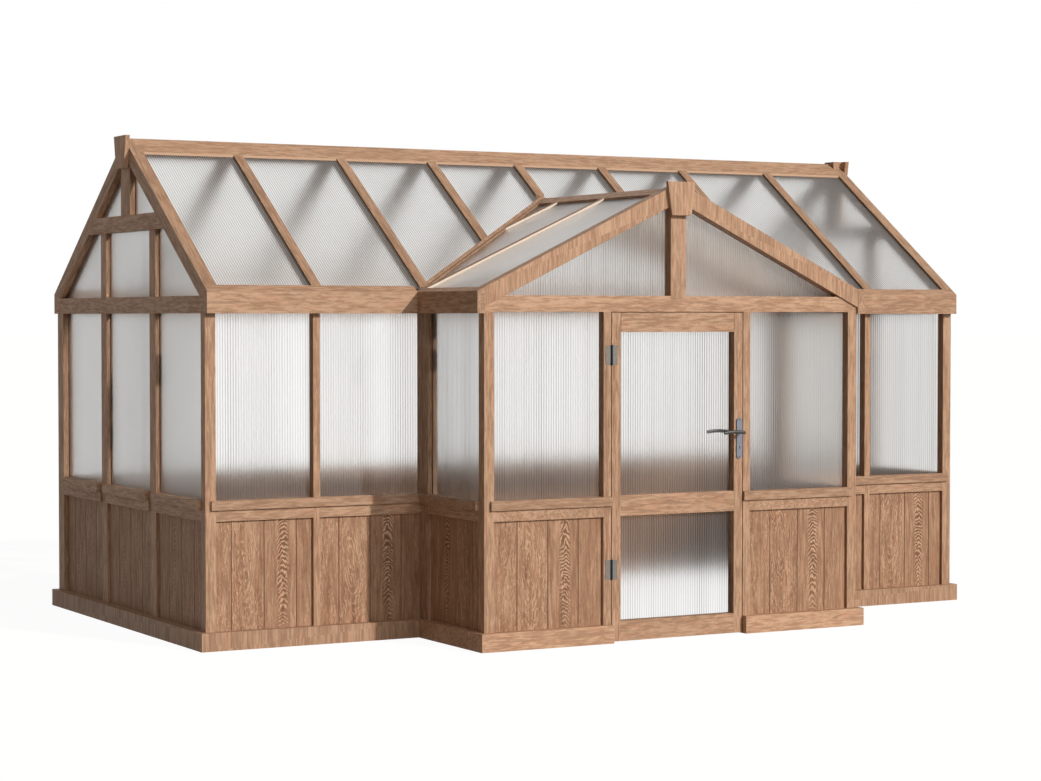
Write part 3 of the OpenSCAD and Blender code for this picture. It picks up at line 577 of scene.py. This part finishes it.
# Which nodes have each look
LOOKS = {
    "front_planks": "front_planks",
    "rear_planks": "rear_planks",
    "gable_planks": "gable_planks",
    "porch_planks": "porch_planks",
    "post": "corner_posts junction_posts porch_posts door_posts wall_studs gable_studs king_posts "
            "door_stiles",
    "rail": "main_rails eave_boards wall_plates door_stops",
    "ridge": "ridge_board ridge_caps",
    "sill": "main_sills porch_sills",
    "tie": "porch_tie",
    "door": "door_rails",
    "side": "gable_sills gable_rails gable_ties porch_ridge_board porch_ridge_caps porch_plates "
            "porch_eave_boards porch_rails",
    "roof": "front_rafters rear_rafters gable_barges valley_rafters",
    "porch": "porch_rafters",
    "barge": "porch_barges keystones",
    "base": "base_beams",
    "foot": "porch_base_beams",
    "wall_x": "front_panes",
    "wall_door": "door_panes",
    "wall_rear": "rear_panes",
    "wall_y": "gable_panes",
    "wall_both": "porch_panes",
    "roof_x": "front_roof_sheets",
    "roof_rear": "rear_roof_sheets",
    "roof_y": "porch_roof_sheets",
    "zinc": "frame_hinge_leaves door_hinge_leaves frame_hinge_screws door_hinge_screws",
    "steel": "keep_plate lock_case latch_bolt spindle",
    "black": "hinge_pins plate_screws",
    "plate": "lever_plates",
    "lever": "lever_handles",
}
for key, names in LOOKS.items():
    for name in names.split():
        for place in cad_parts[name].material_slots:
            place.material = mats[key]


# Twin wall sheets
def slope_axes(angle, across, down):
    """Directions across and up a slope that falls towards down, and its normal."""
    c, s = math.cos(angle), math.sin(angle)
    return Vector(across), Vector((-down[0] * c, -down[1] * c, s)), Vector((down[0] * s, down[1] * s, c))


UPRIGHT = math.pi / 2
PLANES = {
    "wall": (slope_axes(UPRIGHT, (1, 0, 0), (0, -1)), slope_axes(UPRIGHT, (0, 1, 0), (1, 0))),
    "roof": (slope_axes(ROOF_PITCH, (1, 0, 0), (0, -1)), slope_axes(ROOF_PITCH, (1, 0, 0), (0, 1))),
    "porch": (slope_axes(PORCH_PITCH, (0, 1, 0), (-1, 0)), slope_axes(PORCH_PITCH, (0, 1, 0), (1, 0))),
}
WEBBED, PLAIN = 0, 1


def outline(points):
    """Convex outline of points in a plane."""
    points = sorted(set((round(a, 6), round(b, 6)) for a, b in points))

    def turns_in(p, q, r):
        return (q[0] - p[0]) * (r[1] - p[1]) - (q[1] - p[1]) * (r[0] - p[0]) > 1e-12

    def half(run):
        kept = []
        for point in run:
            while len(kept) > 1 and not turns_in(kept[-2], kept[-1], point):
                kept.pop()
            kept.append(point)
        return kept[:-1]

    return half(points) + half(points[::-1])


def reach(shape, a):
    """Lowest and highest point of a convex outline at one place across it."""
    hits = []
    for (a0, b0), (a1, b1) in zip(shape, shape[1:] + shape[:1]):
        if min(a0, a1) - 1e-9 <= a <= max(a0, a1) + 1e-9:
            if abs(a1 - a0) < 1e-9:
                hits += [b0, b1]
            else:
                hits.append(b0 + (b1 - b0) * (a - a0) / (a1 - a0))
    return (min(hits), max(hits)) if hits else (0.0, 0.0)


def flute_stops(faces, start, end, pitch):
    """Places across a sheet where its flutes need a column of points, with every corner of it."""
    step = pitch / STEPS_PER_RIB
    stops = {round(p[0], 6) for shape in faces for p in shape if start < p[0] < end} | {start, end}
    for k in range(math.ceil(start / step), math.floor(end / step) + 1):
        if min(abs(k * step - stop) for stop in stops) > step / 4:
            stops.add(k * step)
    return sorted(stops)


def flute_columns(bm, corners, planes, pitch, depth):
    """Points of a fluted sheet inside the solid with these corners: for each place across it the
    points of its front and its back, from low to high."""
    def thickness(axes):
        heights = [axes[2].dot(c) for c in corners]
        return max(heights) - min(heights)

    across, up, normal = min(planes, key=thickness)
    heights = [normal.dot(c) for c in corners]
    back, front = min(heights), max(heights)
    faces = []
    for level in (front, back):
        on_face = [c for c in corners if abs(normal.dot(c) - level) < 2e-4]
        faces.append(outline([(across.dot(c), up.dot(c)) for c in on_face]))
    start = max(min(p[0] for p in shape) for shape in faces)
    end = min(max(p[0] for p in shape) for shape in faces)
    columns = []
    for a in flute_stops(faces, start, end, pitch):
        spans = [reach(shape, a) for shape in faces]
        low, high = max(s[0] for s in spans), min(s[1] for s in spans)
        if high < low - 1e-7:
            continue
        ends = [low] if high - low < 1e-5 else [low, high]
        dip = depth * (1 - math.cos(2 * math.pi * a / pitch)) / 2
        columns.append([[bm.verts.new(across * a + up * b + normal * level) for b in ends]
                        for level in (front - dip, back + dip)])
    return columns


def flute_sheet(bm, corners, planes, pitch, depth):
    """Adds one closed sheet with flutes along it, inside the solid with these corners."""
    columns = flute_columns(bm, corners, planes, pitch, depth)

    def face(look, *verts):
        ring = [v for k, v in enumerate(verts) if v is not verts[k - 1]]
        if len(ring) > 2:
            made = bm.faces.new(ring)
            made.smooth = True
            made.material_index = look

    for (f0, b0), (f1, b1) in zip(columns, columns[1:]):
        face(WEBBED, f0[0], f1[0], f1[-1], f0[-1])
        face(PLAIN, b0[-1], b1[-1], b1[0], b0[0])
        face(PLAIN, f0[-1], f1[-1], b1[-1], b0[-1])
        face(PLAIN, b0[0], b1[0], f1[0], f0[0])
    for (f, b), turned in ((columns[0], False), (columns[-1], True)):
        ring = [f[0], f[-1], b[-1], b[0]]
        if len(f) > 1:
            face(PLAIN, *(ring[::-1] if turned else ring))
        for k, vert in enumerate(ring):
            edge = bm.edges.get((vert, ring[k - 1])) if vert is not ring[k - 1] else None
            if edge:
                edge.smooth = False
    for here, there in zip(columns, columns[1:]):
        for p, q in zip(here, there):
            for k in (0, -1):
                bm.edges.get((p[k], q[k])).smooth = False


def dress_sheet(node, look, kind, pitch, depth, body):
    """Puts fluted sheets in the place of the plain ones of a node."""
    bm = bmesh.new()
    for corners in solids_of(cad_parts[node]):
        flute_sheet(bm, corners, PLANES[kind], pitch, depth)
    bmesh.ops.recalc_face_normals(bm, faces=bm.faces)
    mesh = bpy.data.meshes.new(node + "_fluted")
    bm.to_mesh(mesh)
    bm.free()
    mesh.materials.append(mats[look])
    mesh.materials.append(plain_faces[look])
    sheet = bpy.data.objects.new(node + "_fluted", mesh)
    bpy.context.scene.collection.objects.link(sheet)
    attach(sheet, body)
    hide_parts(node)


dress_sheet("front_panes", "wall_x", "wall", WALL_RIB, WALL_FLUTE, "house")
dress_sheet("rear_panes", "wall_rear", "wall", WALL_RIB, WALL_FLUTE, "house")
dress_sheet("gable_panes", "wall_y", "wall", WALL_RIB, WALL_FLUTE, "house")
dress_sheet("porch_panes", "wall_both", "wall", WALL_RIB, WALL_FLUTE, "house")
dress_sheet("door_panes", "wall_door", "wall", WALL_RIB, WALL_FLUTE, "door")
dress_sheet("front_roof_sheets", "roof_x", "roof", ROOF_RIB, MAIN_ROOF_FLUTE, "house")
dress_sheet("rear_roof_sheets", "roof_rear", "roof", ROOF_RIB, MAIN_ROOF_FLUTE, "house")
dress_sheet("porch_roof_sheets", "roof_y", "porch", ROOF_RIB, PORCH_ROOF_FLUTE, "house")


# Floor: white where it is seen, with the shadow of the object
def make_floor():
    bpy.ops.mesh.primitive_plane_add(size=FLOOR_SIZE, location=(0, 0, 0))
    floor = bpy.context.object
    floor.name = "floor"
    net = Surface("floor_white")
    ground = net.add("ShaderNodeBsdfDiffuse")
    net.put(ground.inputs["Color"], FLOOR_COLOUR)
    glow = net.add("ShaderNodeEmission")
    net.put(glow.inputs["Color"], WHITE)
    net.put(glow.inputs["Strength"], FLOOR_GLOW)
    net.blend(net.times(net.first_sight(), FLOOR_GLOW_SHARE), ground.outputs[0], glow.outputs[0])
    floor.data.materials.append(net.mat)


# World: white where it is seen, warm and weak where it lights the object
def make_world():
    world = bpy.data.worlds.new("studio")
    bpy.context.scene.world = world
    net = Net(world, "ShaderNodeOutputWorld")
    seen = net.first_sight()
    sky = net.add("ShaderNodeBackground")
    net.put(sky.inputs["Color"], net.mix(seen, SKY_COLOUR, WHITE))
    net.put(sky.inputs["Strength"], net.spread(seen, 0.0, 1.0, SKY_LIGHT, 1.0))
    net.put(net.out.inputs["Surface"], sky.outputs[0])


def make_sun(name, strength, width, colour, travel):
    """Sunlight that travels one way. width is the angle that its disc fills, in degrees."""
    lamp = bpy.data.lights.new(name, "SUN")
    lamp.energy = strength
    lamp.angle = math.radians(width)
    lamp.color = colour
    obj = bpy.data.objects.new(name, lamp)
    obj.rotation_euler = Vector(travel).to_track_quat("-Z", "Y").to_euler()
    bpy.context.scene.collection.objects.link(obj)


def make_camera():
    cam = bpy.data.cameras.new("view")
    cam.sensor_width = CAMERA_SENSOR
    cam.sensor_fit = "HORIZONTAL"
    cam.lens = CAMERA_LENS
    cam.clip_end = CAMERA_REACH
    camera = bpy.data.objects.new("view", cam)
    camera.location = CAMERA_AT
    camera.rotation_euler = (math.pi / 2 - CAMERA_DOWN, 0, CAMERA_TURN)
    bpy.context.scene.collection.objects.link(camera)
    bpy.context.scene.camera = camera


make_floor()
make_world()
make_sun("key", 2.45, 1.5, (1.0, 0.985, 0.96), (-0.43, 1.0, -0.50))
make_sun("fill", 0.92, 44, (0.95, 0.985, 1.0), (-0.05, 1.0, -0.32))
make_camera()
bpy.context.scene.view_settings.view_transform = "Standard"
